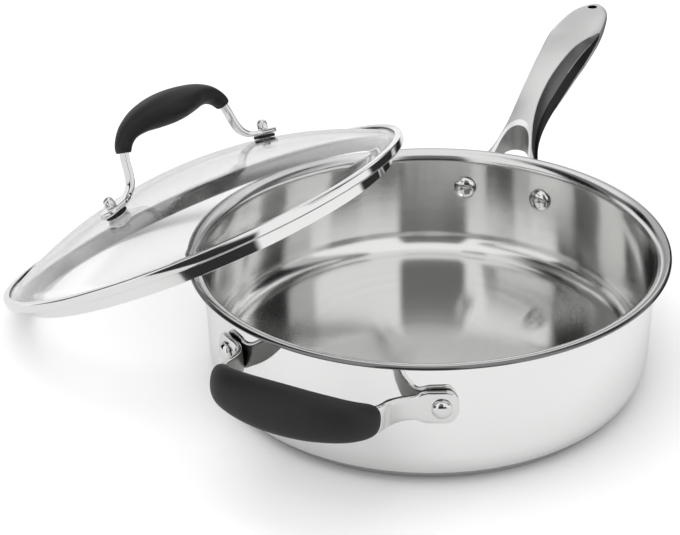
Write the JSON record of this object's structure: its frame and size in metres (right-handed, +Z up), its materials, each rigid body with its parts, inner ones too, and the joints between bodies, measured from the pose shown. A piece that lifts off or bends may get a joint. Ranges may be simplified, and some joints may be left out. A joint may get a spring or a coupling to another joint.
{
  "type": "saute pan with lid",
  "caption": "Straight-sided steel saute pan with a bonded base, forked long handle, gripped helper handle and a domed glass lid leaning on its rim.",
  "frame": {"origin": "centre of the base's underside, on the table", "axes": "+Z up along the pan's axis, +X along the long handle, +Y towards the side the lid leans on"},
  "size_m": [0.5072, 0.4335, 0.1446],
  "materials": {
    "polished_steel": "mirror polished outside, brushed inside",
    "satin_steel": "satin",
    "aluminium": "plain, enclosed in the base",
    "silicone": "matt black",
    "glass": "clear, tempered"
  },
  "bodies": {
    "pan": {"pan_body": "polished_steel", "base_core": "aluminium", "base_cap": "satin_steel", "long_handle": "satin_steel", "long_handle_rivet_left": "polished_steel", "long_handle_rivet_right": "polished_steel", "helper_handle_bar": "polished_steel", "helper_handle_grip": "silicone", "helper_rivet_left": "polished_steel", "helper_rivet_right": "polished_steel"},
    "lid": {"lid_glass": "glass", "lid_band": "polished_steel", "lid_handle_bar": "polished_steel", "lid_handle_grip": "silicone", "lid_gasket_upper_front": "silicone", "lid_gasket_lower_front": "silicone", "lid_screw_front": "polished_steel", "lid_nut_front": "polished_steel", "lid_gasket_upper_rear": "silicone", "lid_gasket_lower_rear": "silicone", "lid_screw_rear": "polished_steel", "lid_nut_rear": "polished_steel"}
  },
  "joints": [
    {"name": "lid_lift", "type": "slide", "parent": "pan", "child": "lid", "axis": [0, 0, 1], "range_m": [0, 0.15]}
  ]
}
